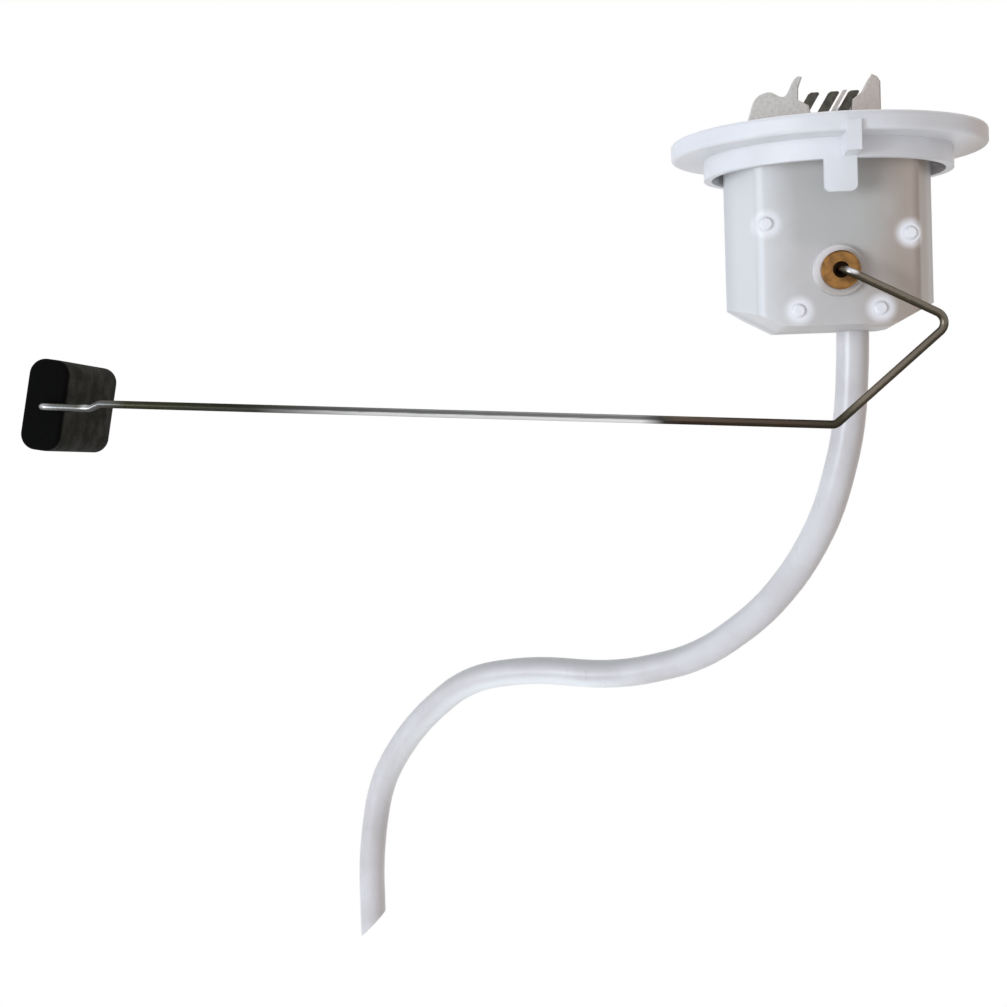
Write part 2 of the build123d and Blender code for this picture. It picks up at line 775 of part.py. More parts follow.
with BuildPart() as card_rivets:
    for side in (-1, 1):
        with BuildSketch(front_plane(-bracket_back + rivet_height, 0, -card_middle)):
            with Locations((side * card_rivet_across, card_rivet_up)):
                Circle(rivet_head / 2)
        extrude(amount=rivet_height)
        with BuildSketch(front_plane(-bracket_back, 0, -card_middle)):
            with Locations((side * card_rivet_across, card_rivet_up)):
                Circle(rivet_shank / 2)
        extrude(amount=bracket_thickness + card_thickness)
        with BuildSketch(front_plane(-card_front, 0, -card_middle)):
            with Locations((side * card_rivet_across, card_rivet_up)):
                Circle(rivet_head / 2)
        extrude(amount=rivet_height)
save(card_rivets, "card_rivets")

# Leads from the blade tails to the pads
lead_names = ["lead_signal", "lead_ground", "lead_warning"]
lead_front = card_front + bar_height + lead_diameter / 2 + running_fit
for name, spot in zip(lead_names, blade_spots):
    with BuildPart() as lead:
        with BuildLine():
            lead_line = FilletPolyline(
                (spot, -blade_front, -blade_tail),
                (spot, -blade_front, -blade_tail - lead_diameter),
                (spot, -lead_front, -card_top_depth - pad_drop - pad_height / 2),
                radius=lead_radius)
        with BuildSketch(Plane(origin=lead_line @ 0, z_dir=lead_line % 0)):
            Circle(lead_diameter / 2)
        sweep()
    save(lead, name)

# Spring strip from the bracket to the end of the shaft
with BuildPart() as ground_spring:
    ground_top = -bracket_drop + ground_foot
    ground_tip = -shaft_end + contact_gap
    with BuildSketch(Plane.YZ.offset(-ground_width / 2)):
        with BuildLine():
            Polyline(
                (-card_back, ground_top), (-card_back, -bracket_drop), (ground_tip + ground_strip, shaft_z),
                (ground_tip + ground_curl, shaft_z - ground_curl),
                (ground_tip + ground_curl - ground_strip, shaft_z - ground_curl - ground_strip),
                (ground_tip, shaft_z), (-card_back - ground_strip, -bracket_drop + ground_strip / 2),
                (-card_back - ground_strip, ground_top), close=True)
        make_face()
    extrude(amount=ground_width)
save(ground_spring, "ground_spring")

# Screws from inside the case up into the flange
with BuildPart() as case_screws:
    for across, along in screw_spots:
        bearing = -case_roof - (bracket_foot_thickness if along < 0 else 0)
        with BuildSketch(Plane.XY.offset(bearing)):
            with Locations((across, along)):
                Circle(screw_head / 2)
        extrude(amount=-screw_head_height, taper=screw_head_draft)
        with BuildSketch(Plane.XY.offset(bearing)):
            with Locations((across, along)):
                Circle(screw_shank / 2)
        extrude(amount=screw_bite - bearing)
        with BuildSketch(Plane.XY.offset(bearing - screw_head_height)):
            with Locations((across, along)):
                Rectangle(slot_length, slot_width)
                Rectangle(slot_width, slot_length)
        extrude(amount=slot_depth, mode=Mode.SUBTRACT)
save(case_screws, "case_screws")

# Pickup pipe: straight down through the case, then a long pre-formed sweep to the tank floor
pipe_route = [(pipe_side, pipe_back, 0), (pipe_side, pipe_back, -pipe_drop)] + pipe_points
pipe_radii = tangent_radii(pipe_route)
print("pipe bend radii", [round(radius, 1) for radius in pipe_radii])
with BuildPart() as whole_pipe:
    with BuildLine():
        pipe_line = FilletPolyline(*pipe_route, radius=pipe_radii)
    with BuildSketch(Plane(origin=pipe_line @ 0, z_dir=pipe_line % 0)):
        Circle(pipe_diameter / 2)
        Circle(pipe_bore / 2, mode=Mode.SUBTRACT)
    sweep()
    end_x, end_y, end_z = pipe_points[-1]
    cut_reach = pipe_diameter
    cut_rise = cut_reach * tan(radians(pipe_cut_angle))
    with BuildSketch(front_plane(end_y + pipe_diameter, end_x, -pipe_inlet_depth)):
        with BuildLine():
            Polyline((cut_reach, cut_rise), (-cut_reach, -cut_rise), (-cut_reach, -2 * cut_reach),
                     (cut_reach, -2 * cut_reach), close=True)
        make_face()
    extrude(amount=2 * pipe_diameter, mode=Mode.SUBTRACT)

# The straight inlet end is a node of its own, so that its bore stays open in the collision model
straight_top = Plane.XY.offset(-pipe_straight_depth)
with BuildPart() as pickup_pipe:
    add(whole_pipe.part)
    split(bisect_by=straight_top, keep=Keep.TOP)
save(pickup_pipe, "pickup_pipe")

with BuildPart() as pipe_inlet:
    add(whole_pipe.part)
    split(bisect_by=straight_top, keep=Keep.BOTTOM)
save(pipe_inlet, "pipe_inlet")

# Foam float, free to swing on the end of the wire, and the push-on nut that keeps it there
float_end = float_front + float_depth
with BuildPart() as float_body:
    with BuildSketch(axle_plane(float_end, float_lean)):
        with Locations((0, float_offset)):
            RectangleRounded(float_width, float_height, float_corner)
    extrude(amount=float_depth)
    end_faces = float_body.faces().filter_by(axle_plane(0))
    fillet(end_faces.edges(), float_edge)
    with BuildSketch(axle_plane(float_end)):
        Circle(wire_diameter / 2 + running_fit)
    extrude(amount=float_depth, mode=Mode.SUBTRACT)
save(float_body, "float")

with BuildPart() as float_nut:
    with BuildSketch(axle_plane(float_end + contact_gap + nut_thickness)):
        Circle(nut_diameter / 2)
        Circle(wire_diameter / 2 + press_fit, mode=Mode.SUBTRACT)
        with PolarLocations(wire_diameter / 2 + nut_slot_width, nut_petals):
            Rectangle(nut_slot_length, nut_slot_width, mode=Mode.SUBTRACT)
    extrude(amount=nut_thickness)
save(float_nut, "float_nut")
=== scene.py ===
import bpy
from math import cos, pi, radians, sin
from mathutils import Matrix, Vector


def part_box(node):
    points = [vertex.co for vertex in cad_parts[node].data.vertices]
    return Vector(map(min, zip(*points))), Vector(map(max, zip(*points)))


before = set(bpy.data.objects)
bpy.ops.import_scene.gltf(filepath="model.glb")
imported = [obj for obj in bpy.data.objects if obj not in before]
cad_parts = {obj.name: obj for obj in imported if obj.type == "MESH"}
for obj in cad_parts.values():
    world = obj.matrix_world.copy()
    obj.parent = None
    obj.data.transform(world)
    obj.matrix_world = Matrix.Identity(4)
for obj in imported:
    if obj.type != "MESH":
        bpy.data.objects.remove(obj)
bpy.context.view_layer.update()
print("frame loaded:", len(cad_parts), "nodes")

mm = 0.001


# A socket that can be used in sums
class Strand:
    def __init__(self, network, socket):
        self.network = network
        self.socket = socket

    def combine(self, operation, first, second):
        isVector = self.socket.type in ("VECTOR", "RGBA")
        kind = "ShaderNodeVectorMath" if isVector else "ShaderNodeMath"
        return self.network.node(kind, {"operation": operation}, {0: first, 1: second})

    def __add__(self, other):
        return self.combine("ADD", self, other)

    __radd__ = __add__

    def __sub__(self, other):
        return self.combine("SUBTRACT", self, other)

    def __rsub__(self, other):
        return self.combine("SUBTRACT", other, self)

    def __mul__(self, other):
        return self.combine("MULTIPLY", self, other)

    __rmul__ = __mul__


# A tone with its alpha
def opaque(tone):
    return tone if isinstance(tone, Strand) or len(tone) == 4 else (*tone, 1)


# A node tree, of a material or of the room
class Network:
    def __init__(self, tree):
        self.tree = tree

    # any node: its type, its settings, then the values or links of its sockets
    def node(self, kind, settings=None, sockets=None, output=0):
        made = self.tree.nodes.new(kind)
        for setting, value in (settings or {}).items():
            if setting == "stops":
                self.setStops(made.color_ramp, value)
            else:
                setattr(made, setting, value)
        for socketKey, value in (sockets or {}).items():
            self.feed(made.inputs[socketKey], value)
        return Strand(self, made.outputs[output])

    def setStops(self, ramp, stops):
        while len(ramp.elements) < len(stops):
            ramp.elements.new(1.0)
        for element, (position, tone) in zip(ramp.elements, stops):
            element.position = position
            element.color = opaque(tone)

    def feed(self, socket, value):
        if isinstance(value, Strand):
            self.tree.links.new(value.socket, socket)
        else:
            socket.default_value = value

    # from 0 to 1 as a value goes from low to high
    def ramp(self, value, low, high, curve="SMOOTHSTEP"):
        return self.node("ShaderNodeMapRange", {"clamp": True, "interpolation_type": curve},
                         {"Value": value, "From Min": low, "From Max": high,
                          "To Min": 0.0, "To Max": 1.0})

    # up to 1 as a value crosses the first span, and down again as it crosses the second
    def between(self, value, rise, fall):
        return self.ramp(value, *rise) - self.ramp(value, *fall)

    def mix(self, factor, first, second):
        return self.node("ShaderNodeMix", {"data_type": "RGBA", "clamp_factor": True},
                         {0: factor, 6: opaque(first), 7: opaque(second)}, output=2)

    # 1 for the rays that see the background: straight from the camera, mirrored or let through
    def seenRays(self):
        seen = self.node("ShaderNodeLightPath", output="Is Camera Ray")
        for ray in ("Is Glossy Ray", "Is Transmission Ray"):
            other = self.node("ShaderNodeLightPath", output=ray)
            seen = self.node("ShaderNodeMath", {"operation": "MAXIMUM"}, {0: seen, 1: other})
        return seen


# One material, built around its Principled shader
class Finish(Network):
    def __init__(self, name, **fixed):
        self.material = bpy.data.materials.new(name)
        self.material.use_nodes = True
        Network.__init__(self, self.material.node_tree)
        self.shader = self.tree.nodes["Principled BSDF"]
        for socketName, value in fixed.items():
            self.shader.inputs[socketName.replace("_", " ")].default_value = value
        self.place = self.node("ShaderNodeTexCoord", output="Object")

    def noise(self, grain, detail=3.0, rough=0.5, stretch=(1, 1, 1)):
        spots = self.place * stretch if stretch != (1, 1, 1) else self.place
        return self.node("ShaderNodeTexNoise", None,
                         {"Vector": spots, "Scale": 1 / grain, "Detail": detail, "Roughness": rough})

    # soft patches, 0 in some and 1 in others
    def clouds(self, grain, low=0.35, high=0.7):
        return self.ramp(self.noise(grain), low, high)

    def cells(self, grain):
        return self.node("ShaderNodeTexVoronoi", None, {"Vector": self.place, "Scale": 1 / grain})

    def along(self, axis):
        return self.node("ShaderNodeSeparateXYZ", None, {0: self.place}, output=axis)

    # how far the surface looks along an axis, from -1 to 1
    def facing(self, axis):
        normal = self.node("ShaderNodeTexCoord", output="Normal")
        return self.node("ShaderNodeSeparateXYZ", None, {0: normal}, output=axis)

    # metres along a direction
    def toward(self, direction):
        return self.node("ShaderNodeVectorMath", {"operation": "DOT_PRODUCT"},
                         {0: self.place, 1: tuple(direction)}, output="Value")

    # distance in metres from a line through a point, parallel to an axis
    def away(self, point, axis):
        flat = tuple(0 if letter == axis else 1 for letter in "XYZ")
        return self.node("ShaderNodeVectorMath", {"operation": "LENGTH"},
                         {0: (self.place - tuple(point)) * flat}, output="Value")

    # heights in metres that dent the surface
    def dent(self, height):
        return self.node("ShaderNodeBump", None,
                         {"Height": height, "Strength": 1.0, "Distance": 1.0})

    def finish(self, color, roughness, normal=None):
        self.feed(self.shader.inputs["Base Color"], opaque(color))
        self.feed(self.shader.inputs["Roughness"], roughness)
        if normal is not None:
            self.feed(self.shader.inputs["Normal"], normal)
        return self.material


def dress(material, *names):
    for name in names:
        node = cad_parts[name]
        node.data.materials.clear()
        node.data.materials.append(material)


# Camera at the photograph's viewing angle
camera = {
    "place": (-39.2 * mm, -367.1 * mm, -53.7 * mm),
    "turn": 7.34,  # degrees, as are tip and roll
    "tip": -1.12,
    "roll": 1.79,
    "lens": 49.24,
    "sensor": 36.0,
    "shiftDown": 0.1028,  # share of the frame
    "nearest": 10 * mm,
}


def placeCamera():
    data = bpy.data.cameras.new("camera")
    data.lens = camera["lens"]
    data.sensor_width = camera["sensor"]
    data.shift_y = -camera["shiftDown"]
    data.clip_start = camera["nearest"]
    body = bpy.data.objects.new("camera", data)
    bpy.context.scene.collection.objects.link(body)
    turn = Matrix.Rotation(radians(camera["turn"]), 4, "Z")
    tip = Matrix.Rotation(radians(camera["tip"]), 4, "X")
    roll = Matrix.Rotation(radians(camera["roll"]), 4, "Y")
    level = Matrix.Rotation(pi / 2, 4, "X")  # a new camera looks down
    body.matrix_world = Matrix.Translation(camera["place"]) @ turn @ tip @ roll @ level
    bpy.context.scene.camera = body


# Studio: a pale room, cool at the left and warm at the right, with a key lamp in front at the
# left and a soft lamp overhead
studio = {
    "roomLeft": (0.47, 0.51, 0.58),
    "roomRight": (0.53, 0.48, 0.45),
    "roomSpread": 0.7,
    "lamps": [
        {"name": "key", "place": (-0.84, -0.9, -0.1), "size": 0.5, "power": 7.5,
         "tone": (0.84, 0.91, 1.0)},
        {"name": "top", "place": (0.0, 0.4, 1.3), "size": 1.0, "power": 4.0,
         "tone": (1.0, 1.0, 1.0)},
    ],
    "aim": (-0.05, 0.0, -0.06),
    "floorDepth": 600 * mm,
    "floorHalf": 4.0,
    "floorTone": (0.9, 0.9, 0.9),
    "floorRoughness": 0.9,
    "shadowShare": 0.15,
    "shadowNear": 150 * mm,
    "shadowFar": 500 * mm,
}


def lightRoom():
    world = bpy.data.worlds.new("room")
    world.use_nodes = True
    room = Network(world.node_tree)
    outward = room.node("ShaderNodeTexCoord", output="Generated")
    across = room.node("ShaderNodeSeparateXYZ", None, {0: outward}, output="X")
    spread = studio["roomSpread"]
    tone = room.mix(room.ramp(across, -spread, spread), studio["roomLeft"], studio["roomRight"])
    lit = room.node("ShaderNodeBackground", None, {"Color": tone})
    white = room.node("ShaderNodeBackground", None, {"Color": (1, 1, 1, 1)})
    choice = room.node("ShaderNodeMixShader", None, {0: room.seenRays(), 1: lit, 2: white})
    room.feed(room.tree.nodes["World Output"].inputs["Surface"], choice)
    bpy.context.scene.world = world


def hangLamps():
    aim = Vector(studio["aim"])
    for lamp in studio["lamps"]:
        data = bpy.data.lights.new(lamp["name"], "AREA")
        data.shape = "SQUARE"
        data.size = lamp["size"]
        data.energy = lamp["power"]
        data.color = lamp["tone"]
        body = bpy.data.objects.new(lamp["name"], data)
        bpy.context.scene.collection.objects.link(body)
        body.location = lamp["place"]
        body.rotation_euler = (aim - body.location).to_track_quat("-Z", "Y").to_euler()


# The floor shows white to the camera and keeps the object's soft shadow near it
def layFloor():
    half = studio["floorHalf"]
    down = -studio["floorDepth"]
    mesh = bpy.data.meshes.new("floor")
    corners = [(x * half, y * half, down) for x, y in ((-1, -1), (1, -1), (1, 1), (-1, 1))]
    mesh.from_pydata(corners, [], [(0, 1, 2, 3)])
    floor = bpy.data.objects.new("floor", mesh)
    bpy.context.scene.collection.objects.link(floor)
    paper = Finish("floorPaper")
    paper.finish(studio["floorTone"], studio["floorRoughness"])
    glow = paper.node("ShaderNodeEmission", None, {"Color": (1, 1, 1, 1), "Strength": 1.0})
    near = 1 - paper.ramp(paper.away(studio["aim"], "Z"), studio["shadowNear"], studio["shadowFar"])
    share = paper.seenRays() * (1 - near * studio["shadowShare"])
    matte = Strand(paper, paper.shader.outputs[0])
    blend = paper.node("ShaderNodeMixShader", None, {0: share, 1: matte, 2: glow})
    paper.feed(paper.tree.nodes["Material Output"].inputs["Surface"], blend)
    mesh.materials.append(paper.material)


placeCamera()
lightRoom()
hangLamps()
layFloor()
bpy.context.scene.view_settings.view_transform = "Standard"
print("camera, lamps and floor placed")


# Each piece below has its tones, then the sizes and shares of its patches and grain. "shine" is
# how much its roughness varies.
evenScatter = (1.0, 0.95, 0.9)  # light spreads about as far in every colour in the white plastics


# Flange: moulded acetal, satin, with painted shade that makes it warmer and darker at its right end,
# and the round marks of the ejector pins
flange = {
    "tone": (0.79, 0.795, 0.81),
    "shade": (0.72, 0.715, 0.72),
    "warm": (0.5, 0.425, 0.375),
    "warmStart": 27 * mm,
    "warmEnd": 40 * mm,
    "cloud": 14 * mm,
    "cloudShare": 0.6,
    "grain": 0.35 * mm,
    "grainDepth": 0.02 * mm,
    "roughness": 0.33,
    "shine": 0.1,
    "pins": 4,
    "firstPin": 45,  # degrees
    "pinRadius": 2.4 * mm,
    "pinReach": 24 * mm,
    "pinGroove": 0.15 * mm,
    "pinDepth": 0.06 * mm,
    "upperFace": 4.3 * mm,
    "upperFade": 0.2 * mm,
}


def moldedFlange():
    own = flange
    finish = Finish("whitePlastic", IOR=1.48, Subsurface_Weight=0.15, Subsurface_Scale=0.002,
                    Subsurface_Radius=evenScatter)
    fine = finish.noise(own["grain"], detail=2.0)
    color = finish.mix(finish.clouds(own["cloud"]) * own["cloudShare"], own["tone"], own["shade"])
    # painted shade: warmer and darker towards the right end
    warmth = finish.ramp(finish.along("X"), own["warmStart"], own["warmEnd"])
    color = finish.mix(warmth, color, own["warm"])
    marks = 0.0
    inner = own["pinRadius"]
    middle = inner + own["pinGroove"]
    outer = middle + own["pinGroove"]
    for pin in range(own["pins"]):
        turn = radians(own["firstPin"] + 360 * pin / own["pins"])
        center = (own["pinReach"] * cos(turn), own["pinReach"] * sin(turn), 0)
        marks = marks + finish.between(finish.away(center, "Z"), (inner, middle), (middle, outer))
    upper = finish.ramp(finish.along("Z"), own["upperFace"], own["upperFace"] + own["upperFade"])
    heights = fine * own["grainDepth"] - marks * upper * own["pinDepth"]
    return finish.finish(color, fine * own["shine"] + own["roughness"], finish.dent(heights))


# Case and cover: milky nylon. The front has painted light at the left and painted warm shade at the
# right, the card behind it shows as a painted soft shade, its stakes show painted pale highlights, its
# boss a painted shaded ring with a painted highlight at its upper left, and a grey band of painted
# shade runs round the side
case = {
    "lit": (0.75, 0.75, 0.745),
    "litEdge": -19 * mm,
    "litEnd": -8 * mm,
    "plain": (0.585, 0.565, 0.545),
    "warm": (0.435, 0.365, 0.31),
    "warmStart": 2 * mm,
    "warmEnd": 16 * mm,
    "warmShare": 0.85,
    "sideStart": -13 * mm,
    "sideEnd": -4 * mm,
    "cloud": 8 * mm,
    "drift": 6 * mm,
    "shaded": (0.47, 0.475, 0.45),
    "cardHalf": 12.5 * mm,
    "cardTop": -10 * mm,
    "cardBottom": -25 * mm,
    "cardSoft": 4 * mm,
    "cardShare": 0.55,
    "aboveCard": 0.5,
    "frontStart": -18 * mm,
    "frontEnd": -15 * mm,
    "edge": (0.33, 0.34, 0.38),
    "edgeStart": -9 * mm,
    "edgeEnd": 3 * mm,
    "edgeShare": 0.32,
    "rearStart": 4 * mm,
    "rearEnd": 14 * mm,
    "white": (0.96, 0.95, 0.97),
    "pips": [(-17.2, -19.1), (17.2, -22.8), (-9.8, -40.7), (9.8, -40.7)],  # right, up in mm
    "pipRadius": 1.7 * mm,
    "pipFade": 4.5 * mm,
    "boss": (0.5, 0.46, 0.42),
    "pivotDepth": 31.3 * mm,
    "bossInner": (4.5 * mm, 4.9 * mm),
    "bossOuter": (6.2 * mm, 6.5 * mm),
    "bossLit": (-0.8, 0.0, 0.6),  # the direction of its whiter side
    "bossFade": 4.9 * mm,
    "bossShare": 0.6,
    "grain": 0.4 * mm,
    "grainDepth": 0.02 * mm,
    "roughness": 0.42,
    "shine": 0.12,
}


def milkyCase():
    own = case
    finish = Finish("casePlastic", IOR=1.5, Subsurface_Weight=0.25, Subsurface_Scale=0.003,
                    Subsurface_Radius=evenScatter)
    fine = finish.noise(own["grain"], detail=2.0)
    drift = (finish.noise(own["cloud"]) - 0.5) * own["drift"]
    across = finish.along("X") + drift
    height = finish.along("Z") + drift
    depth = finish.along("Y")

    # painted light at the left, painted warm shade at the right of the front
    lit = finish.ramp(across, own["litEdge"], own["litEnd"])
    color = finish.mix(lit, own["lit"], own["plain"])
    sides = finish.ramp(depth, own["sideStart"], own["sideEnd"])
    rightPart = finish.ramp(across, own["warmStart"], own["warmEnd"])
    color = finish.mix(rightPart * (1 - sides * own["warmShare"]), color, own["warm"])

    # the card's shade, seen through the front
    half, soft = own["cardHalf"], own["cardSoft"]
    wide = finish.between(across, (-half - soft, -half + soft), (half - soft, half + soft))
    low = finish.ramp(height, own["cardBottom"] - soft, own["cardBottom"] + soft)
    high = finish.ramp(height, own["cardTop"], own["cardTop"] + soft)
    cardShade = wide * low * (1 - high * own["aboveCard"])
    front = 1 - finish.ramp(depth, own["frontStart"], own["frontEnd"])
    color = finish.mix(cardShade * front * own["cardShare"], color, own["shaded"])

    # painted shade: the grey band round the side
    edges = ((own["edgeStart"], own["edgeEnd"]), (own["rearStart"], own["rearEnd"]))
    color = finish.mix(finish.between(depth, *edges) * own["edgeShare"], color, own["edge"])

    # painted highlights on the stakes; on the boss a painted shaded ring with a painted highlight at
    # its upper left
    white = 0.0
    for pipRight, pipUp in own["pips"]:
        away = finish.away((pipRight * mm, 0, pipUp * mm), "Y")
        white = white + (1 - finish.ramp(away, own["pipRadius"], own["pipFade"]))
    pivot = (0, 0, -own["pivotDepth"])
    ring = finish.between(finish.away(pivot, "Y"), own["bossInner"], own["bossOuter"])
    upperLeft = finish.toward(own["bossLit"]) - Vector(own["bossLit"]).dot(pivot)
    white = white + ring * finish.ramp(upperLeft, 0.0, own["bossFade"]) * own["bossShare"]
    color = finish.mix(ring * front * own["bossShare"], color, own["boss"])
    color = finish.mix(white * front, color, own["white"])
    return finish.finish(color, fine * own["shine"] + own["roughness"],
                         finish.dent(fine * own["grainDepth"]))


# Terminal block: glass-filled nylon, speckled, with painted shade that makes it warmer and darker at
# the right
block = {
    "tone": (0.66, 0.635, 0.59),
    "warm": (0.58, 0.505, 0.45),
    "reach": 16 * mm,
    "speck": (0.36, 0.33, 0.3),
    "speckSize": 0.9 * mm,
    "speckShare": 0.3,
    "grain": 0.3 * mm,
    "grainDepth": 0.03 * mm,
    "roughness": 0.4,
    "shine": 0.2,
}


def moldedBlock():
    own = block
    finish = Finish("beigePlastic", IOR=1.5)
    fine = finish.noise(own["grain"])
    # painted shade: warmer and darker towards the right
    warmth = finish.ramp(finish.along("X"), -own["reach"], own["reach"])
    color = finish.mix(warmth, own["tone"], own["warm"])
    color = finish.mix(finish.clouds(own["speckSize"]) * own["speckShare"], color, own["speck"])
    return finish.finish(color, fine * own["shine"] + own["roughness"],
                         finish.dent(fine * own["grainDepth"]))


# Pickup pipe: natural nylon, extruded, with faint streaks along it. Its upward faces carry painted
# shade, greyer; in its lower runs its downward faces carry painted light, paler; near the flange its
# right-facing side carries painted shade, warmer and darker
pipe = {
    "tone": (0.71, 0.69, 0.69),
    "shade": (0.57, 0.54, 0.53),
    "cloud": 18 * mm,
    "cloudShare": 0.7,
    "under": (0.97, 0.99, 0.99),
    "underStart": 0.0,
    "underEnd": -0.75,
    "over": (0.44, 0.44, 0.44),
    "overStart": 0.2,
    "overEnd": 0.95,
    "warm": (0.57, 0.52, 0.49),
    "warmStart": 0.1,
    "warmEnd": 0.9,
    "lowRuns": -75 * mm,
    "topRun": -45 * mm,
    "streak": 1.2 * mm,
    "streakStretch": (1, 1, 0.15),
    "streakDepth": 0.03 * mm,
    "roughness": 0.23,
    "shine": 0.14,
}


def nylonPipe():
    own = pipe
    finish = Finish("nylonPipe", IOR=1.53, Subsurface_Weight=0.3, Subsurface_Scale=0.003,
                    Subsurface_Radius=evenScatter)
    streak = finish.noise(own["streak"], detail=2.0, stretch=own["streakStretch"])
    color = finish.mix(finish.clouds(own["cloud"]) * own["cloudShare"], own["tone"], own["shade"])
    # painted light and shade by which way the surface faces
    upward = finish.facing("Z")
    over = finish.ramp(upward, own["overStart"], own["overEnd"])
    under = 1 - finish.ramp(upward, own["underEnd"], own["underStart"])
    rightward = finish.ramp(finish.facing("X"), own["warmStart"], own["warmEnd"])
    topRun = finish.ramp(finish.along("X"), own["lowRuns"], own["topRun"])
    color = finish.mix(over, color, own["over"])
    color = finish.mix(under * (1 - topRun), color, own["under"])
    color = finish.mix(rightward * topRun, color, own["warm"])
    return finish.finish(color, streak * own["shine"] + own["roughness"],
                         finish.dent(streak * own["streakDepth"]))


# Brass bush: turned, dulled by fuel, with painted shade down in its recess
brass = {
    "tone": (0.35, 0.175, 0.055),
    "shade": (0.2, 0.102, 0.04),
    "cloud": 2.2 * mm,
    "pitch": 0.22 * mm,
    "ringDepth": 0.004 * mm,
    "dark": (0.025, 0.015, 0.008),
    "recessRadius": 2.05 * mm,
    "recessRim": 0.1 * mm,
    "recessStart": 0.25 * mm,
    "recessFade": 0.6 * mm,
    "roughness": 0.3,
    "shine": 0.15,
}


def turnedBrass():
    own = brass
    finish = Finish("brass", Metallic=1.0)
    low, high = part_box("brass_bush")
    middle = [(a + b) / 2 for a, b in zip(low, high)]
    cloud = finish.clouds(own["cloud"])
    away = finish.away(middle, "Y")
    depth = finish.along("Y") - low[1]
    rings = finish.node("ShaderNodeMath", {"operation": "SINE"}, {0: away * (2 * pi / own["pitch"])})
    color = finish.mix(cloud, own["tone"], own["shade"])
    # painted shade: near-black down in the recess
    deep = finish.ramp(depth, own["recessStart"], own["recessStart"] + own["recessFade"])
    wall = finish.ramp(away, own["recessRadius"], own["recessRadius"] + own["recessRim"])
    color = finish.mix(deep * (1 - wall), color, own["dark"])
    return finish.finish(color, cloud * own["shine"] + own["roughness"],
                         finish.dent(rings * own["ringDepth"]))


# Wire arm: drawn stainless wire, browner near its bends, with painted light and shade along it:
# painted highlights where it leaves the bush and at the float, a painted reflection on the lower side
# of its long run, and painted dark stretches between.
# Its upper and lower sides have their own rows of tones. Each stop is a place along X in mm and a tone
wire = {
    "start": -206.0,
    "end": 26.0,
    "upper": [
        (-206, (0.6, 0.6, 0.6)), (-202.5, (0.5, 0.5, 0.5)), (-199.5, (0.16, 0.16, 0.16)),
        (-192, (0.11, 0.11, 0.1)), (-190.5, (0.45, 0.45, 0.44)), (-188.5, (0.12, 0.12, 0.12)),
        (-183, (0.1, 0.1, 0.09)), (-180, (0.04, 0.038, 0.024)), (-150, (0.022, 0.024, 0.017)),
        (-110, (0.12, 0.122, 0.12)), (-50, (0.17, 0.17, 0.17)), (-45, (0.05, 0.05, 0.048)),
        (-40, (0.1, 0.075, 0.058)), (-12, (0.08, 0.058, 0.045)), (-2, (0.05, 0.045, 0.03)),
        (4, (0.2, 0.17, 0.135)), (26, (0.15, 0.13, 0.105)),
    ],
    "lower": [
        (-206, (0.4, 0.4, 0.4)), (-197, (0.12, 0.12, 0.12)), (-189, (0.1, 0.1, 0.1)),
        (-180, (0.035, 0.035, 0.022)), (-145, (0.05, 0.05, 0.045)), (-118, (0.65, 0.65, 0.65)),
        (-49, (0.8, 0.8, 0.8)), (-44, (0.04, 0.035, 0.03)), (-38, (0.035, 0.022, 0.018)),
        (-2, (0.035, 0.03, 0.02)), (5, (0.06, 0.05, 0.035)), (26, (0.05, 0.042, 0.03)),
    ],
    "patch": 6 * mm,
    "drift": 3 * mm,
    "seamLow": -0.35,
    "seamHigh": 0.1,
    "seamRagged": 0.5,
    "paintedGlint": (0.85, 0.85, 0.88),
    "paintedGlintPlace": (2.4 * mm, 0, -31.2 * mm),
    "paintedGlintRadius": 0.7 * mm,
    "paintedGlintFade": 2.2 * mm,
    "edgeTint": (0.35, 0.34, 0.33, 1.0),
    "streak": 0.5 * mm,
    "streakStretch": (0.06, 1, 1),
    "streakDepth": 0.02 * mm,
    "roughness": 0.22,
    "shine": 0.16,
}


def drawnWire():
    own = wire
    finish = Finish("steelWire", Metallic=1.0, Specular_Tint=own["edgeTint"])
    streak = finish.noise(own["streak"], rough=0.6, stretch=own["streakStretch"])
    length = own["end"] - own["start"]
    drift = (finish.noise(own["patch"]) - 0.5) * own["drift"]
    way = finish.ramp(finish.along("X") + drift, own["start"] * mm, own["end"] * mm, "LINEAR")
    # painted light and shade: a row of tones along X for the upper side and one for the lower side
    tones = {}
    for side in ("upper", "lower"):
        stops = [((place - own["start"]) / length, tone) for place, tone in own[side]]
        tones[side] = finish.node("ShaderNodeValToRGB", {"stops": stops}, {"Fac": way})
    seam = finish.facing("Z") + (streak - 0.5) * own["seamRagged"]
    above = finish.ramp(seam, own["seamLow"], own["seamHigh"])
    color = finish.mix(above, tones["lower"], tones["upper"])
    # painted highlight on the upper side where the wire leaves the bush
    away = finish.away(own["paintedGlintPlace"], "Y")
    bright = (1 - finish.ramp(away, own["paintedGlintRadius"], own["paintedGlintFade"])) * above
    color = finish.mix(bright, color, own["paintedGlint"])
    return finish.finish(color, streak * own["shine"] + own["roughness"],
                         finish.dent(streak * own["streakDepth"]))


# Terminal blades: dark plated strip, streaked as it was rolled
blade = {
    "tone": (0.095, 0.088, 0.072),
    "shade": (0.06, 0.055, 0.045),
    "cloud": 1.5 * mm,
    "streak": 0.25 * mm,
    "streakStretch": (1, 1, 0.1),
    "streakDepth": 0.01 * mm,
    "roughness": 0.33,
    "shine": 0.25,
}


def stampedBlade():
    own = blade
    finish = Finish("bladeMetal", Metallic=0.75)
    streak = finish.noise(own["streak"], rough=0.6, stretch=own["streakStretch"])
    color = finish.mix(finish.clouds(own["cloud"]), own["tone"], own["shade"])
    return finish.finish(color, streak * own["shine"] + own["roughness"],
                         finish.dent(streak * own["streakDepth"]))


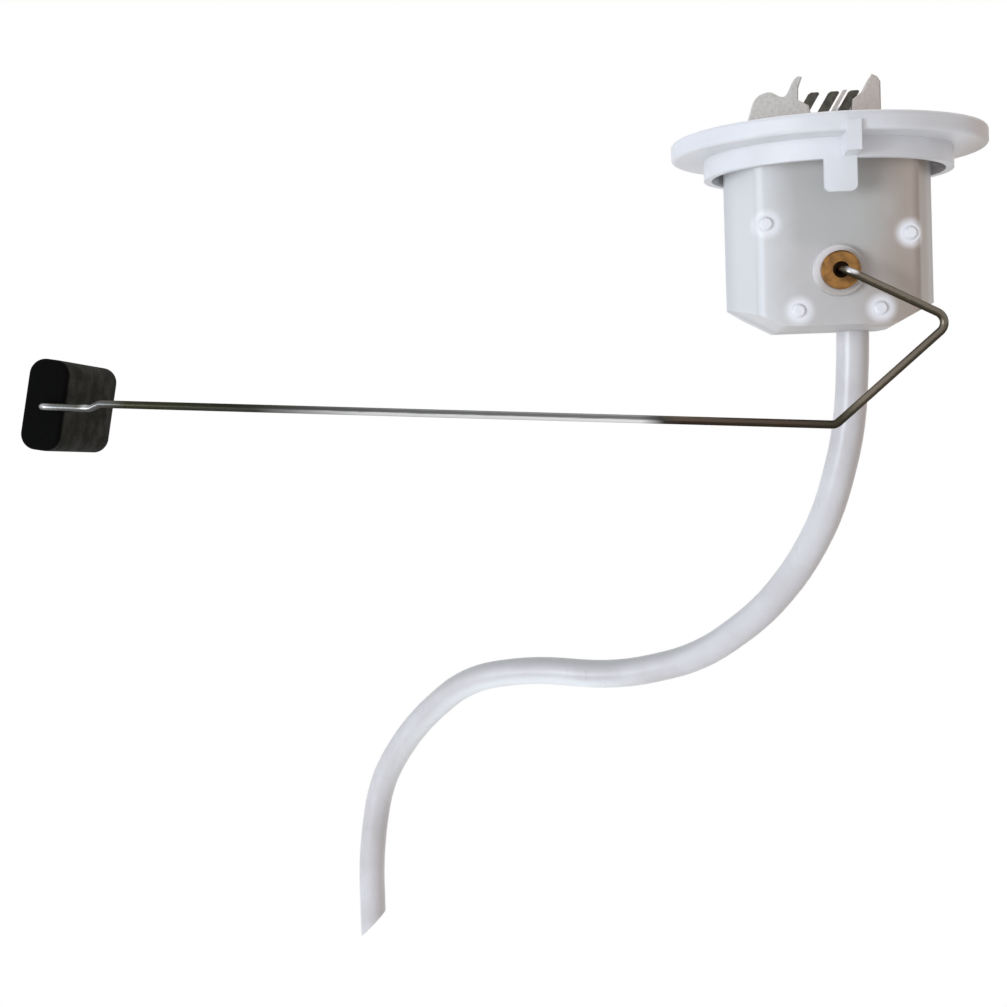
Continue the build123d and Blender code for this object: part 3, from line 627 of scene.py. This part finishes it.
# Small metal parts inside: one tone with duller patches; every one has the last row's values too
strips = {
    "springSteel": {"tone": (0.4, 0.4, 0.41), "shade": (0.28, 0.28, 0.29), "roughness": 0.28},
    "bronzeStrip": {"tone": (0.5, 0.3, 0.14), "shade": (0.36, 0.21, 0.1), "roughness": 0.28},
    "printedTrack": {"tone": (0.5, 0.5, 0.48), "shade": (0.36, 0.36, 0.35), "roughness": 0.4},
    "every": {"metallic": 1.0, "index": 1.5, "cloud": 2 * mm, "grain": 0.3 * mm,
              "grainDepth": 0.01 * mm, "shine": 0.2},
}

# Small plastic and ceramic parts inside, in the same way
mouldings = {
    "hubPlastic": {"tone": (0.7, 0.69, 0.65), "shade": (0.62, 0.6, 0.56), "roughness": 0.35},
    "cardCeramic": {"tone": (0.78, 0.77, 0.72), "shade": (0.7, 0.69, 0.65), "roughness": 0.55},
    "leadSleeve": {"tone": (0.04, 0.04, 0.045), "shade": (0.025, 0.025, 0.03), "roughness": 0.4},
    "every": {"metallic": 0.0, "index": 1.48, "cloud": 4 * mm, "grain": 0.35 * mm,
              "grainDepth": 0.02 * mm, "shine": 0.2},
}


def innerPart(family, name):
    own = {**family["every"], **family[name]}
    finish = Finish(name, Metallic=own["metallic"], IOR=own["index"])
    fine = finish.noise(own["grain"])
    color = finish.mix(finish.clouds(own["cloud"]), own["tone"], own["shade"])
    return finish.finish(color, fine * own["shine"] + own["roughness"],
                         finish.dent(fine * own["grainDepth"]))


# Float: closed-cell foam, its end faces near-black with painted shade, its skin greyer and patchy
foam = {
    "paintedEndShade": (0.0035, 0.0035, 0.0032),
    "skin": (0.02, 0.02, 0.0165),
    "worn": (0.05, 0.049, 0.044),
    "patch": 5 * mm,
    "droop": 4.2,  # degrees, of the axle
    "paintedEndShadeStart": 0.3 * mm,
    "paintedEndShadeEnd": 1.3 * mm,
    "cell": 0.55 * mm,
    "cellLow": 0.1,
    "cellHigh": 0.5,
    "cellDepth": 0.06 * mm,
    "grain": 0.25 * mm,
    "grainDepth": 0.03 * mm,
    "roughness": 0.9,
    "shine": 0.15,
}


def cellFoam():
    own = foam
    finish = Finish("floatFoam", IOR=1.2, Specular_IOR_Level=0.12)
    droop = radians(own["droop"])
    axle = Vector((0, cos(droop), -sin(droop)))
    reach = [axle.dot(vertex.co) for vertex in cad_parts["float"].data.vertices]
    along = finish.toward(axle)
    pits = finish.ramp(finish.cells(own["cell"]), own["cellLow"], own["cellHigh"])
    fine = finish.noise(own["grain"])
    color = finish.mix(finish.clouds(own["patch"]), own["skin"], own["worn"])
    # painted shade: both end faces near-black
    front = 1 - finish.ramp(along - min(reach), own["paintedEndShadeStart"], own["paintedEndShadeEnd"])
    back = finish.ramp(along - max(reach), -own["paintedEndShadeEnd"], -own["paintedEndShadeStart"])
    color = finish.mix(front + back, color, own["paintedEndShade"])
    heights = pits * own["cellDepth"] + fine * own["grainDepth"]
    return finish.finish(color, own["roughness"] - pits * own["shine"], finish.dent(heights))


dress(moldedFlange(), "flange", "card_bracket")
dress(milkyCase(), "case", "front_cover")
dress(moldedBlock(), "terminal_block")
dress(nylonPipe(), "pickup_pipe", "pipe_inlet")
print("plastics made")

dress(turnedBrass(), "brass_bush", "wiper_rivet", "card_rivets")
dress(drawnWire(), "wire_arm")
dress(stampedBlade(), "blade_signal", "blade_ground", "blade_warning")
dress(innerPart(strips, "springSteel"), "bush_retainer", "shaft_clip", "case_screws", "float_nut")
dress(innerPart(strips, "bronzeStrip"), "wiper_spring", "ground_spring")
dress(innerPart(strips, "printedTrack"), "contact_bars")
print("metals made")

dress(innerPart(mouldings, "hubPlastic"), "wiper_hub", "thrust_washer")
dress(innerPart(mouldings, "cardCeramic"), "resistor_card")
dress(innerPart(mouldings, "leadSleeve"), "lead_signal", "lead_ground", "lead_warning")
dress(cellFoam(), "float")
print("inner parts and float made")
